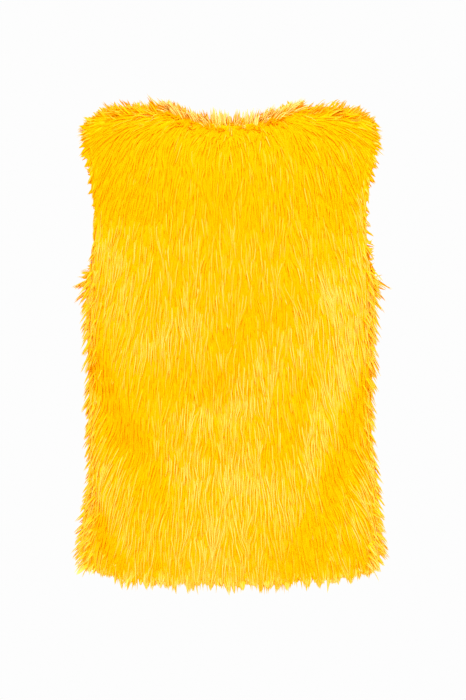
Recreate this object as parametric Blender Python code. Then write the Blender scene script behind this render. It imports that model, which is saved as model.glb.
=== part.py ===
"""A sleeveless faux fur vest, filled out as it is worn, with nobody in it.

Three pieces of long-pile cloth are sewn together: one back and two fronts, which hang open down
the middle. Each piece is one closed wall, as thick as its backing and its lying pile. Its outer face is
the reach of the fur and its inner face is the knitted backing.

Lengths are in metres. +Z is up, the fronts face -Y and the wearer's left is +X. The origin is
where the shoulders of the wearer carry the vest: inside it, midway between the shoulder seams.
"""

import math

import bmesh
import bpy
import numpy as np

# Cloth
WALL = 0.014  # backing and lying pile together
SEAM_GAP = 0.0003  # between two pieces at a seam
EDGE_FLUFF = 0.006  # how far the pile rounds out past a free edge

# Heights of the garment's landmarks
HEM = -0.619
HEM_RISE = 0.010  # how much higher the hem is at the side seams than at the middle
UNDERARM = -0.219
YOKE = -0.130  # above this the cloth leans in to the neck and the shoulders
SHOULDER_TOP = WALL  # the seam rests on the shoulder with its inner face

# Neck, shoulders and armholes
NECK_HALF_WIDTH = 0.080
BACK_NECK_DEPTH = 0.070  # from the shoulder seam back to the middle of the neckline
BACK_NECK_DROP = 0.028
FRONT_NECK_DEPTH = 0.078
FRONT_NECK_DROP = 0.045
NECKLINE_FALL = 0.85  # 1 cuts the front neckline as a straight V, and less runs into the edge
TIP_HALF_WIDTH = 0.196  # the end of the shoulder seam
TIP_DROP = 0.021
ARMHOLE_CUT = 0.250  # the share of each half section that the armhole takes away
ARMHOLE_SQUARENESS = 2.6  # of the armhole's lower end. 2 is an ellipse
OPENING_AT_HEM = 0.024  # from the middle to the edge of each front
OPENING_AT_NECK = 0.021

TIP_ROUNDING = 0.93
SEAM_SLOPE = 0.06  # the share of the tip's drop that the seam spreads over its whole length
TIP_STEEPENING = 5  # the power by which the rest of the drop gathers at the tip

# The yoke's columns: how far each keeps to its way at its foot and at its top, and that way
YOKE_RISE = 0.070
YOKE_RISE_AT_NECK = 0.045
SHOULDER_REACH = 0.044
CORNER_REACH = 0.056
NECK_REACH = 0.036
NECK_STEEPNESS = math.radians(52)  # at the middle of the neckline, from level
CORNER_LEAN = math.radians(38)  # at the neck's corner, seen from above, from straight back
LEAN_FADE = 0.7  # the share of the shoulder seam over which that lean goes
EASING = 0.10  # how far to each side of a column its upper control point is averaged
ARMHOLE_FLARE = 0.008

# The body's level sections, from the hem up. The last two are hidden in the armholes, and
# carry the shape of the shoulder blades and the chest up to the yoke.
SECTION_COLUMNS = ("height", "half_width", "back_depth", "front_depth")
SECTIONS = (
    (-0.619, 0.1985, 0.128, 0.120),
    (-0.598, 0.2045, 0.131, 0.123),
    (-0.557, 0.2035, 0.130, 0.123),
    (-0.502, 0.1975, 0.122, 0.121),
    (-0.448, 0.1925, 0.112, 0.119),
    (-0.393, 0.1935, 0.107, 0.121),
    (-0.312, 0.1960, 0.110, 0.130),
    (-0.257, 0.1970, 0.115, 0.137),
    (-0.222, 0.2000, 0.118, 0.139),
    (-0.170, 0.2030, 0.119, 0.136),
    (-0.130, 0.2040, 0.117, 0.128),
)
SQUARENESS = 2.35  # 2 is an ellipse, and more is a squarer section

# Soft folds. Each runs from start through middle to end, given as the distance round the body
# from the middle of the back, positive to the wearer's left, and a height. A rise below nothing is
# a trough.
FOLD_COLUMNS = (
    "start_round",
    "start_height",
    "middle_round",
    "middle_height",
    "end_round",
    "end_height",
    "half_width",
    "rise",
)
FOLDS = (
    # the back, left of the middle: drag lines from the waist to the hem
    (0.220, -0.335, 0.178, -0.398, 0.118, -0.462, 0.024, -0.0085),
    (0.215, -0.425, 0.168, -0.500, 0.146, -0.600, 0.024, 0.0070),
    (0.255, -0.470, 0.215, -0.540, 0.192, -0.612, 0.024, -0.0080),
    (0.128, -0.455, 0.090, -0.492, 0.052, -0.505, 0.024, -0.0045),
    # the back, right of the middle
    (-0.220, -0.358, -0.192, -0.430, -0.150, -0.505, 0.025, -0.0070),
    (-0.235, -0.462, -0.205, -0.525, -0.190, -0.600, 0.025, 0.0055),
    (-0.160, -0.470, -0.132, -0.540, -0.095, -0.605, 0.025, -0.0050),
    (-0.205, -0.235, -0.165, -0.252, -0.135, -0.300, 0.022, 0.0040),
    # the back's middle: a shallow swag below the shoulder blades
    (0.105, -0.325, 0.045, -0.372, -0.020, -0.400, 0.024, -0.0045),
    (0.075, -0.415, 0.000, -0.462, -0.080, -0.415, 0.026, 0.0045),
    (-0.045, -0.440, -0.075, -0.400, -0.095, -0.355, 0.018, -0.0035),
    # the wearer's left front
    (0.290, -0.300, 0.345, -0.375, 0.395, -0.450, 0.024, -0.0060),
    (0.330, -0.440, 0.362, -0.520, 0.372, -0.605, 0.024, 0.0060),
    (0.425, -0.380, 0.435, -0.480, 0.425, -0.600, 0.024, -0.0055),
    (0.300, -0.480, 0.308, -0.545, 0.312, -0.610, 0.022, -0.0055),
    # the wearer's right front
    (-0.285, -0.335, -0.335, -0.410, -0.385, -0.480, 0.024, -0.0065),
    (-0.322, -0.470, -0.350, -0.540, -0.358, -0.608, 0.024, 0.0060),
    (-0.415, -0.330, -0.435, -0.440, -0.415, -0.580, 0.024, -0.0050),
    (-0.300, -0.245, -0.335, -0.275, -0.380, -0.330, 0.022, 0.0045),
)
FOLD_STEPS = 60  # points read along each fold
FOLD_ENDS = 0.45  # how much of a fold's depth is left at its two ends

# The grid of each half of a piece
BODY_ROWS = 21  # hem to underarm
ROW_CLOSING = 0.22  # how much closer the rows stand towards the underarm
ARMHOLE_ROWS = 6  # underarm to yoke
YOKE_ROWS = 9  # yoke to neckline and shoulder seam
COLUMNS = 17  # middle to side
NECK_COLUMN = 8  # the column that meets the corner of neckline and shoulder seam
ROWS = BODY_ROWS + ARMHOLE_ROWS + YOKE_ROWS
YOKE_ROW = BODY_ROWS + ARMHOLE_ROWS
FRONT_NECK_ROW = YOKE_ROW - 1.6  # the row that the front neckline falls to
NECK_SHARE = NECK_COLUMN / COLUMNS
RIM = (0.2, 0.5, 0.8)  # loops across a wall's edge, as shares of its thickness
STEP = 0.01  # between the places that a normal is worked out from, as a share of the grid
SLOPE_DROP = 0.01  # below the yoke, where its slope is read
ARC_STEPS = 120  # of each quarter of a section

FUR_YELLOW = (0.98, 0.60, 0.02, 1.0)

BACK, FRONT = 1, -1  # the side of the shoulder seam, along Y
LEFT, RIGHT = 1, -1  # the wearer's side, along X

ARC = np.linspace(0.0, math.pi / 2, ARC_STEPS + 1)


def eased(share):
    """A smooth step from 0 to 1."""
    share = min(max(share, 0.0), 1.0)
    return share * share * (3 - 2 * share)


def unit(vectors):
    """The vectors at length 1, and those of no length left alone."""
    size = np.linalg.norm(vectors, axis=-1, keepdims=True)
    return vectors / np.where(size < 1e-12, 1.0, size)


def section_size(height, column):
    """A size from the table of sections, on a smooth curve through its rows."""
    heights = np.array([row[0] for row in SECTIONS])
    sizes = np.array([row[SECTION_COLUMNS.index(column)] for row in SECTIONS])
    slopes = np.gradient(sizes, heights)
    height = min(max(height, heights[0]), heights[-1])
    below = min(int(np.searchsorted(heights, height, side="right")) - 1, len(heights) - 2)
    span = heights[below + 1] - heights[below]
    t = (height - heights[below]) / span
    return (
        (1 + 2 * t) * (1 - t) ** 2 * sizes[below]
        + t * (1 - t) ** 2 * span * slopes[below]
        + t * t * (3 - 2 * t) * sizes[below + 1]
        + t * t * (t - 1) * span * slopes[below + 1]
    )


def quarter(side, height):
    """The outline of a quarter of the body's section, and the distance along it from the middle."""
    half_width = section_size(height, "half_width")
    depth = section_size(height, "back_depth" if side == BACK else "front_depth")
    power = 2 / SQUARENESS
    x = half_width * np.sin(ARC) ** power
    y = side * depth * np.cos(ARC) ** power
    steps = np.hypot(np.diff(x), np.diff(y))
    return x, y, np.concatenate([[0.0], np.cumsum(steps)])


def on_section(side, height, share):
    """The point at that share of the way from the middle of the back or front to the side seam."""
    x, y, along = quarter(side, height)
    at = share * along[-1]
    return np.array([np.interp(at, along, x), np.interp(at, along, y), height])


def armhole_turn(level):
    """How far round the lower end of the armhole a level is, in radians."""
    return math.pi / 2 * min(max((level - BODY_ROWS) / ARMHOLE_ROWS, 0.0), 1.0)


def level_height(across, level):
    """The height of a row below the yoke. Levels may lie between rows."""
    if level <= BODY_ROWS:
        t = level / BODY_ROWS
        up = t + ROW_CLOSING * (t - t**3)
        return HEM + (UNDERARM - HEM) * up + HEM_RISE * (1 - t) ** 2 * across**3
    rise = 1 - max(math.cos(armhole_turn(level)), 0.0) ** (2 / ARMHOLE_SQUARENESS)
    return UNDERARM + (YOKE - UNDERARM) * rise


def section_share(across, level):
    """Where a column crosses a row, as a share of the half section: the armhole pushes it in."""
    cut = ARMHOLE_CUT * math.sin(armhole_turn(level)) ** (2 / ARMHOLE_SQUARENESS)
    return across * (1 - cut * across**2)


def top_line(side, across):
    """The full top edge of a half piece: neckline, then shoulder seam out to its tip."""
    depth = BACK_NECK_DEPTH if side == BACK else FRONT_NECK_DEPTH
    drop = BACK_NECK_DROP if side == BACK else FRONT_NECK_DROP
    if across <= NECK_SHARE:
        turn = math.pi / 2 * across / NECK_SHARE
        x, y = NECK_HALF_WIDTH * math.sin(turn), side * depth * math.cos(turn)
        return np.array([x, y, SHOULDER_TOP - drop * math.cos(turn) ** 2])
    along = (across - NECK_SHARE) / (1 - NECK_SHARE)
    x = NECK_HALF_WIDTH + (TIP_HALF_WIDTH - NECK_HALF_WIDTH) * along ** TIP_ROUNDING
    fall = TIP_DROP * (SEAM_SLOPE * along + (1 - SEAM_SLOPE) * along**TIP_STEEPENING)
    return np.array([x, 0.0, SHOULDER_TOP - fall])


def leaving_top(side, across):
    """How far, and which way, a yoke column leaves the top edge on its way down."""
    if across <= NECK_SHARE:
        near = across / NECK_SHARE
        steep = NECK_STEEPNESS * math.cos(math.pi / 2 * near)
        reach = NECK_REACH + (CORNER_REACH - NECK_REACH) * eased(near)
    else:
        near = 1 - eased((across - NECK_SHARE) / (1 - NECK_SHARE) / LEAN_FADE)
        steep = 0.0
        reach = SHOULDER_REACH + (CORNER_REACH - SHOULDER_REACH) * near
    level, lean = math.cos(steep), CORNER_LEAN * near
    return reach * np.array([level * math.sin(lean), side * level * math.cos(lean), -math.sin(steep)])


def upper_control(side, across):
    """A yoke column's control point below its top, averaged with its neighbours' to ease the corner."""
    spread = EASING * min(1.0, across / EASING, (1 - across) / EASING)
    near = [across + spread * step for step in (-1.0, -0.5, 0.0, 0.5, 1.0)]
    return sum(top_line(side, place) + leaving_top(side, place) for place in near) / len(near)


def yoke_point(side, across, lift):
    """A point on the column that rises from the yoke line to the top edge. lift is 0 to 1."""
    share = section_share(across, YOKE_ROW)
    foot = on_section(side, YOKE, share)
    below = on_section(side, YOKE - SLOPE_DROP, share)
    top = top_line(side, across)
    rise = YOKE_RISE_AT_NECK + (YOKE_RISE - YOKE_RISE_AT_NECK) * eased(across / NECK_SHARE)
    flare = np.array([ARMHOLE_FLARE * across**4, 0.0, 0.0])
    first = foot + unit(foot - below) * rise + flare
    second = upper_control(side, across) + flare
    stay = 1 - lift
    return stay**3 * foot + 3 * stay**2 * lift * first + 3 * stay * lift**2 * second + lift**3 * top


def surface(side, across, level):
    """The smooth outer face. across is 0 at the middle and 1 at the side, and level counts rows."""
    if level > YOKE_ROW:
        return yoke_point(side, across, (level - YOKE_ROW) / YOKE_ROWS)
    return on_section(side, level_height(across, level), section_share(across, level))


def surface_normal(side, across, level):
    """The way out from the smooth outer face."""
    left, right = max(across - STEP, 0.0), min(across + STEP, 1.0)
    low, high = max(level - STEP * ROWS, 0.0), min(level + STEP * ROWS, float(ROWS))
    sideways = surface(side, right, level) - surface(side, left, level)
    upward = surface(side, across, high) - surface(side, across, low)
    return unit(np.cross(sideways, upward)) * -side


def front_place(row, column):
    """Where a grid point of a front lies: how far across, and on which level."""
    if column >= NECK_COLUMN:
        return column / COLUMNS, float(row)
    edge = OPENING_AT_HEM + (OPENING_AT_NECK - OPENING_AT_HEM) * row / ROWS
    first = edge / quarter(FRONT, level_height(0.0, min(row, YOKE_ROW)))[2][-1]
    inward = column / NECK_COLUMN
    across = first + (NECK_SHARE - first) * inward
    if row <= BODY_ROWS:
        return across, float(row)
    top = FRONT_NECK_ROW + (ROWS - FRONT_NECK_ROW) * inward**NECKLINE_FALL
    return across, BODY_ROWS + (top - BODY_ROWS) * (row - BODY_ROWS) / (ROWS - BODY_ROWS)


def way_round(side, across, level):
    """The distance round the body from the middle of the back."""
    share, height = section_share(across, level), level_height(across, min(level, YOKE_ROW))
    back_length = quarter(BACK, height)[2][-1]
    if side == BACK:
        return share * back_length
    return back_length + (1 - share) * quarter(FRONT, height)[2][-1]


def fold_rise(round_body, height):
    """How far the folds lift the cloth, or sink it, at places given by two arrays."""
    total = np.zeros(round_body.shape)
    t = np.linspace(0.0, 1.0, FOLD_STEPS)
    for row in FOLDS:
        fold = dict(zip(FOLD_COLUMNS, row))
        line_round, line_height = [
            (1 - t) ** 2 * fold["start_" + part]
            + 2 * t * (1 - t) * fold["middle_" + part]
            + t * t * fold["end_" + part]
            for part in ("round", "height")
        ]
        far = np.hypot(round_body[..., None] - line_round, height[..., None] - line_height)
        nearest = far.argmin(axis=-1)
        strength = FOLD_ENDS + (1 - FOLD_ENDS) * np.sin(math.pi * t[nearest])
        total += fold["rise"] * strength * np.exp(-((far.min(axis=-1) / fold["half_width"]) ** 2))
    return total


def half_piece(side, wearer_side):
    """Half the back, or one front: its folded outer face, and the way out at each grid point."""
    points = np.zeros((ROWS + 1, COLUMNS + 1, 3))
    normal = np.zeros_like(points)
    round_body = np.zeros((ROWS + 1, COLUMNS + 1))
    for row in range(ROWS + 1):
        for column in range(COLUMNS + 1):
            across, level = column / COLUMNS, float(row)
            if side == FRONT:
                across, level = front_place(row, column)
            points[row, column] = surface(side, across, level)
            normal[row, column] = surface_normal(side, across, level)
            round_body[row, column] = way_round(side, across, level)
    rise = fold_rise(round_body * wearer_side, points[..., 2])
    points += normal * rise[..., None]
    mirror = np.array([wearer_side, 1, 1])
    return points * mirror, normal * mirror


def edge_kinds(side):
    """The grid's border in order, as (row, column) pairs, and whether each step of it is free."""
    last = COLUMNS * 2 if side == BACK else COLUMNS
    middle = COLUMNS if side == BACK else 0
    border, free = [], []

    def walk(row, column, is_free):
        border.append((row, column))
        free.append(is_free)

    for column in range(last):
        walk(0, column, True)
    for row in range(ROWS):
        walk(row, last, row >= BODY_ROWS)
    for column in range(last, 0, -1):
        walk(ROWS, column, max(abs(column - middle), abs(column - 1 - middle)) <= NECK_COLUMN)
    for row in range(ROWS, 0, -1):
        walk(row, 0, side == FRONT or row > BODY_ROWS)
    return border, free


def neighbour_inside(place, shape):
    """The grid point one step further in from a border point."""
    row, column = place
    return min(max(row, 1), shape[0] - 2), min(max(column, 1), shape[1] - 2)


def fluff_directions(outer, normal, border, free):
    """The way the pile rounds out past each border point. At a seam it is nothing."""
    count = len(border)
    out = np.zeros((count, 3))
    seam = np.zeros(count, bool)
    for i in range(count):
        a, b = border[i], border[(i + 1) % count]
        if not free[i]:
            seam[i] = seam[(i + 1) % count] = True
            continue
        away = unit(np.cross(outer[b] - outer[a], normal[a] + normal[b]))
        inside = outer[neighbour_inside(a, outer.shape)] - outer[a]
        away = -away if away @ inside > 0 else away
        out[i] += away
        out[(i + 1) % count] += away
    out[seam, 1] = 0.0
    return unit(out)


def wall_mesh(name, outer, normal, side):
    """A closed wall from the outer face's grid, with rounded free edges and flat seams."""
    border, free = edge_kinds(side)
    count = len(border)
    on_seam = [border[i] for i in range(count) if not free[i] or not free[i - 1]]
    for place in on_seam:
        outer[place][1] = side * SEAM_GAP / 2
        normal[place][1] = 0.0
    normal = unit(normal)
    inner = outer - normal * WALL
    fluff = fluff_directions(outer, normal, border, free)

    mesh = bmesh.new()
    rows, columns = outer.shape[:2]
    faces = []
    for points in (outer, inner):
        faces.append([[mesh.verts.new(points[r, c]) for c in range(columns)] for r in range(rows)])
    for grid in faces:
        for r in range(rows - 1):
            for c in range(columns - 1):
                mesh.faces.new((grid[r][c], grid[r][c + 1], grid[r + 1][c + 1], grid[r + 1][c]))
    loops = [[faces[0][r][c] for r, c in border]]
    for share in RIM:
        swell = EDGE_FLUFF * math.sin(math.pi * share)
        ring = []
        for i, place in enumerate(border):
            point = outer[place] + (inner[place] - outer[place]) * share + fluff[i] * swell
            ring.append(mesh.verts.new(point))
        loops.append(ring)
    loops.append([faces[1][r][c] for r, c in border])
    for first, second in zip(loops, loops[1:]):
        for i in range(count):
            j = (i + 1) % count
            mesh.faces.new((first[i], first[j], second[j], second[i]))
    bmesh.ops.triangulate(mesh, faces=mesh.faces, quad_method="SHORT_EDGE")
    bmesh.ops.recalc_face_normals(mesh, faces=mesh.faces)
    data = bpy.data.meshes.new(name)
    mesh.to_mesh(data)
    mesh.free()
    data.shade_smooth()
    return data


def fur_material():
    """Long yellow pile."""
    material = bpy.data.materials.new("fur")
    material.use_nodes = True
    shader = material.node_tree.nodes["Principled BSDF"]
    shader.inputs["Base Color"].default_value = FUR_YELLOW
    shader.inputs["Roughness"].default_value = 0.6
    shader.inputs["Metallic"].default_value = 0.0
    return material


def add_piece(name, data, material, carrier):
    """Puts a piece in the scene, hung from the shoulders' point."""
    data.materials.append(material)
    piece = bpy.data.objects.new(name, data)
    piece.parent = carrier
    bpy.context.scene.collection.objects.link(piece)
    return piece


def back_mesh():
    """The back, in one piece from side seam to side seam."""
    left, left_normal = half_piece(BACK, LEFT)
    right, right_normal = half_piece(BACK, RIGHT)
    outer = np.concatenate([right[:, :0:-1], left], axis=1)
    normal = np.concatenate([right_normal[:, :0:-1], left_normal], axis=1)
    return wall_mesh("back", outer, normal, BACK)


def front_mesh(name, wearer_side):
    """One front, from its free edge at the middle to the side seam."""
    outer, normal = half_piece(FRONT, wearer_side)
    return wall_mesh(name, outer, normal, FRONT)


def build():
    for old in list(bpy.data.objects):
        bpy.data.objects.remove(old, do_unlink=True)
    carrier = bpy.data.objects.new("carried_by_shoulders", None)
    bpy.context.scene.collection.objects.link(carrier)
    material = fur_material()
    add_piece("back", back_mesh(), material, carrier)
    add_piece("front_left", front_mesh("front_left", LEFT), material, carrier)
    add_piece("front_right", front_mesh("front_right", RIGHT), material, carrier)


build()
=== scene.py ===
# %% [markdown]
# # A faux fur vest, seen from behind
# The vest is three pieces of long-pile knit, a back and two fronts. It is filled out as if somebody
# wore it, but it is empty. Its solids hold the outer reach of the fur. This script puts into each
# of them what a maker would: a thin shell of backing cloth, and on that shell a pile of separate
# locks, each of which is real geometry, so that the outline is hairy from every side.

# %% The frame
import math

import bmesh
import bpy
import numpy as np
from mathutils.bvhtree import BVHTree
from mathutils.kdtree import KDTree
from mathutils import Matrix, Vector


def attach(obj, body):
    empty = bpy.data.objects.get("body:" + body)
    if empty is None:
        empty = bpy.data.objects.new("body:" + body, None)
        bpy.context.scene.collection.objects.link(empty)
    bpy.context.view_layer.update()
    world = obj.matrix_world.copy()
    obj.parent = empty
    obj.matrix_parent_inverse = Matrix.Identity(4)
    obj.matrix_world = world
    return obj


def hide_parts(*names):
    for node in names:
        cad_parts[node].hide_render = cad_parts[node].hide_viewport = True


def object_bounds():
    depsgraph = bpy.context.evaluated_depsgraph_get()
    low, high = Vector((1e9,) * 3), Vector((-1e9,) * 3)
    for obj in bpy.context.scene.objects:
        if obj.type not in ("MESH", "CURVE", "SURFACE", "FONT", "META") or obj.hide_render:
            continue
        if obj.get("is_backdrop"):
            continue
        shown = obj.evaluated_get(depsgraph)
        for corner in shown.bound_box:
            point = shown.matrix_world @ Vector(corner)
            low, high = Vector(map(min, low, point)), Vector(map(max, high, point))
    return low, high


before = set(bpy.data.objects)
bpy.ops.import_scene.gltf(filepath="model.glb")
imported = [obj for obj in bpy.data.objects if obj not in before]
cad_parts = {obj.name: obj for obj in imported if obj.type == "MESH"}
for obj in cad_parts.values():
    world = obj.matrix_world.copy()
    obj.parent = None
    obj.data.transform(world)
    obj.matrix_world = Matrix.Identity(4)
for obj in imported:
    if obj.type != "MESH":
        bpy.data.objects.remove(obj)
cad_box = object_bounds()
NODES = ("back", "front_left", "front_right")
low, high = (np.array(corner) for corner in cad_box)
print("the solids reach from", low.round(3), "to", high.round(3))

# %% [markdown]
# ## Small helpers
# A fur pile is tens of thousands of near-copies, so its points are worked out in arrays. These
# helpers keep those lines short. The drift is a sum of sine waves in many directions: a smooth
# pattern that never quite repeats, which is how combed fur wanders.

# %% Helpers
def unit(vectors):
    """The vectors at length 1."""
    return vectors / np.maximum(np.linalg.norm(vectors, axis=-1, keepdims=True), 1e-12)


def along(a, b):
    """The dot product of each pair, kept as a column."""
    return (a * b).sum(axis=-1, keepdims=True)


def ease(value, start, end):
    """A smooth step from 0 at start to 1 at end."""
    t = np.clip((value - start) / (end - start), 0, 1)
    return t * t * (3 - 2 * t)


def drift(points, wavelength, seed, waves=14):
    """A smooth number at each point, mostly from -1.5 to 1.5, that wanders over a wavelength."""
    rng = np.random.default_rng(seed)
    ways = unit(rng.normal(size=(waves, 3))) / (wavelength * rng.uniform(0.7, 1.4, (waves, 1)))
    phase = rng.uniform(0, 2 * math.pi, waves)
    return np.sin(points @ ways.T * 2 * math.pi + phase).sum(axis=-1) / math.sqrt(waves / 2)


# %% [markdown]
# ## The faces of each wall
# Each solid is one closed wall: an outer face, an inner face and the rounded edge between them. The
# edge meets both faces at a sharp angle, so walking from face to face over the gentle edges
# only finds the outer face and the inner face by themselves. The outer one is the larger.

# %% Walls taken apart
GENTLE = math.radians(43)  # the rims turn more sharply than this, and no fold does
SEAM_REACH = 0.0004  # what lies this near to the plane of the seams is a seam


def merged_copy(name):
    """A bmesh of the solid with its loose triangles joined."""
    mesh = bmesh.new()
    mesh.from_mesh(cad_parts[name].data)
    bmesh.ops.remove_doubles(mesh, verts=mesh.verts, dist=1e-6)
    mesh.faces.ensure_lookup_table()
    return mesh


def smooth_patches(mesh):
    """The mesh's faces in groups with no sharp edge inside, the largest group first."""
    left, patches = set(mesh.faces), []
    for first in mesh.faces:
        if first not in left:
            continue
        left.discard(first)
        patch, edge_of = [], [first]
        while edge_of:
            face = edge_of.pop()
            patch.append(face)
            for edge in face.edges:
                for other in edge.link_faces:
                    if other in left and edge.calc_face_angle(0) < GENTLE:
                        left.discard(other)
                        edge_of.append(other)
        patches.append(sorted(patch, key=lambda face: face.index))
    return sorted(patches, key=lambda patch: -sum(face.calc_area() for face in patch))


walls = {}
for name in NODES:
    wall = merged_copy(name)
    outer, inner, *rims = smooth_patches(wall)
    walls[name] = {"mesh": wall, "outer": outer, "inner": inner, "rims": sum(rims, [])}
    areas = [sum(face.calc_area() for face in patch) for patch in (outer, inner)]
    print(name, "outer face %.3f, inner face %.3f square metres," % tuple(areas), len(rims), "rims")

# %% [markdown]
# ## The reach of the fur
# Every lock has to lie on the vest wherever it grows, so it needs to know the nearest place on the
# outer faces, the way out there, and whether it has come to a rounded free edge, from which fur
# goes straight on into the air instead of curling round. All three outer faces go into one search
# tree, so that fur combs across the seams as it does on the real thing.

# %% One surface to comb over
def reach_arrays():
    """Corner points, their normals, triangles, and which edges of each triangle are free."""
    points, normals, triangles, free = [], [], [], []
    for name in NODES:
        patch = walls[name]["outer"]
        inside = set(patch)
        number = {}
        for face in patch:
            for vert in face.verts:
                if vert not in number:
                    number[vert] = len(points)
                    points.append(vert.co[:])
                    near = [f.normal * f.calc_area() for f in vert.link_faces if f in inside]
                    normals.append(sum(near[1:], near[0])[:])
        for face in patch:
            loops = face.loops
            triangles.append([number[loop.vert] for loop in loops])
            open_edge = [sum(f in inside for f in loop.edge.link_faces) == 1 for loop in loops]
            seam = [all(abs(v.co.y) < SEAM_REACH for v in loop.edge.verts) for loop in loops]
            # the edge across from corner 0 is loop 1's
            flags = [o and not s for o, s in zip(open_edge, seam)]
            free.append([flags[1], flags[2], flags[0]])
    return np.array(points), unit(np.array(normals)), np.array(triangles), np.array(free)


RIM_WIDTH = 0.0112  # how far the rounded edge of a wall reaches from its inner corner


def free_segments():
    """The two ends of every free edge."""
    pairs = [
        (reach_points[corners[(i + 1) % 3]], reach_points[corners[(i + 2) % 3]])
        for corners, flags in zip(reach_triangles, reach_free)
        for i in np.flatnonzero(flags)
    ]
    return np.array(pairs)


def edge_distance(points, segments):
    """How far each point is from the nearest free edge."""
    start, run = segments[:, 0], segments[:, 1] - segments[:, 0]
    nearest = np.full(len(points), np.inf)
    for a, r in zip(start, run):
        t = np.clip((points - a) @ r / (r @ r), 0, 1)
        nearest = np.minimum(nearest, np.linalg.norm(points - a - t[:, None] * r, axis=1))
    return nearest


reach_points, reach_normals, reach_triangles, reach_free = reach_arrays()
reach_tree = BVHTree.FromPolygons(reach_points.tolist(), reach_triangles.tolist())
segments = free_segments()
on_rim = edge_distance(reach_points, segments) < RIM_WIDTH
reach_rim = on_rim[reach_triangles].all(axis=1)


def on_reach(points):
    """The nearest place on the reach of the fur, the way out, and whether a free edge is passed."""
    found = [reach_tree.find_nearest(point) for point in points.tolist()]
    place = np.array([hit[0][:] for hit in found])
    triangle = np.array([hit[2] for hit in found])
    a, b, c = (reach_points[reach_triangles[triangle, i]] for i in range(3))
    whole = np.cross(b - a, c - a)
    size = along(whole, whole)
    weights = np.hstack(
        [
            along(np.cross(b - place, c - place), whole) / size,
            along(np.cross(c - place, a - place), whole) / size,
            along(np.cross(a - place, b - place), whole) / size,
        ]
    )
    way = unit(sum(weights[:, [i]] * reach_normals[reach_triangles[triangle, i]] for i in range(3)))
    past = reach_rim[triangle] | ((weights < 1e-3) & reach_free[triangle]).any(axis=1)
    return place, way, past


print("fur combs over", len(reach_triangles), "triangles,", reach_rim.sum(), "on rounded edges")

# %% Back from the free edges
RETREAT = 0.0055  # how far short of the solid's free edges the cloth and its roots stay
RETREAT_FULL, RETREAT_GONE = 0.016, 0.045  # distances from the edge
EDGE_SIGHT = 0.040  # how much cloth shows which way leads inwards


def tree_of(points):
    """A search tree of points."""
    tree = KDTree(len(points))
    for number, point in enumerate(points):
        tree.insert(point, number)
    tree.balance()
    return tree


def free_edges():
    """A search tree of the middles of the free edges, and the way from each into the cloth."""
    middles = segments.mean(axis=1)
    flat_points, flat_normals = reach_points[~on_rim], reach_normals[~on_rim]
    surface = tree_of(flat_points)
    inwards = []
    for middle in middles:
        around = [number for _, number, _ in surface.find_range(middle, EDGE_SIGHT)]
        facing = unit(flat_normals[around].mean(axis=0))
        inward = flat_points[around].mean(axis=0) - middle
        inwards.append(unit(inward - (inward @ facing) * facing))
    return tree_of(middles), np.array(inwards)


edge_tree, edge_inwards = free_edges()


def retreat(points):
    """How each point moves so that the cloth stops short of the free edges."""
    moves = np.zeros_like(points)
    for i, point in enumerate(points.tolist()):
        near = edge_tree.find_n(point, 4)
        weights = np.array([1 / (0.002 + far) for _, _, far in near])
        way = unit(weights @ edge_inwards[[number for _, number, _ in near]])
        moves[i] = way * (1 - ease(near[0][2], RETREAT_FULL, RETREAT_GONE))
    return moves * RETREAT


print(len(edge_inwards), "edges are free")

# %% [markdown]
# ## Creases
# The solids already carry the large folds. The cloth has a few shorter creases besides, which run
# down and in from the sides, and some like them on the fronts. Each is a soft trough or ridge with
# its own place, length and depth. Cloth and fur are moved by the same creases.

# %% Creases
CREASE_COLUMNS = ("face", "from_x", "from_z", "to_x", "to_z", "half_width", "rise")
CREASES = (
    ("back", 0.178, -0.380, 0.128, -0.470, 0.010, -0.0030),
    ("back", 0.184, -0.505, 0.150, -0.600, 0.011, -0.0035),
    ("back", 0.108, -0.478, 0.070, -0.505, 0.010, -0.0025),
    ("back", 0.060, -0.335, -0.010, -0.372, 0.012, -0.0020),
    ("back", -0.165, -0.285, -0.120, -0.335, 0.010, -0.0022),
    ("back", -0.178, -0.430, -0.148, -0.540, 0.010, -0.0032),
    ("back", -0.150, -0.330, -0.175, -0.375, 0.009, -0.0020),
    ("front", 0.170, -0.330, 0.095, -0.425, 0.011, -0.0030),
    ("front", 0.160, -0.500, 0.120, -0.600, 0.011, -0.0030),
    ("front", 0.120, -0.160, 0.070, -0.230, 0.011, -0.0022),
    ("front", -0.175, -0.370, -0.110, -0.450, 0.010, -0.0032),
    ("front", -0.135, -0.480, -0.100, -0.590, 0.012, -0.0026),
    ("front", -0.110, -0.150, -0.060, -0.205, 0.010, -0.0020),
)


def from_line(points, row):
    """How near each point is to a row's line, from 1 on it to 0, and how far along it lies."""
    start = np.array([row["from_x"], row["from_z"]])
    run = np.array([row["to_x"], row["to_z"]]) - start
    flat = points[:, [0, 2]] - start
    t = np.clip(flat @ run / (run @ run), 0, 1)
    far = np.linalg.norm(flat - t[:, None] * run, axis=1)
    on_face = points[:, 1] > 0 if row["face"] == "back" else points[:, 1] < 0
    return on_face * np.exp(-((far / row["half_width"]) ** 2)), t


def crease_rise(points):
    """How far the creases lift or sink the cloth at each point."""
    total = np.zeros(len(points))
    for row in CREASES:
        crease = dict(zip(CREASE_COLUMNS, row))
        near, t = from_line(points, crease)
        total += near * crease["rise"] * (0.4 + 0.6 * np.sin(math.pi * t))
    return total


print(len(CREASES), "creases, the deepest", min(row[-1] for row in CREASES), "m")

# %% [markdown]
# ## Node values as Python numbers
# Shader maths reads best as arithmetic. A small class holds an output socket, and adding or
# multiplying two of them adds a Math node behind the scenes. Every other node is made by one
# method, which sets the node's settings first and then its sockets.

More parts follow.
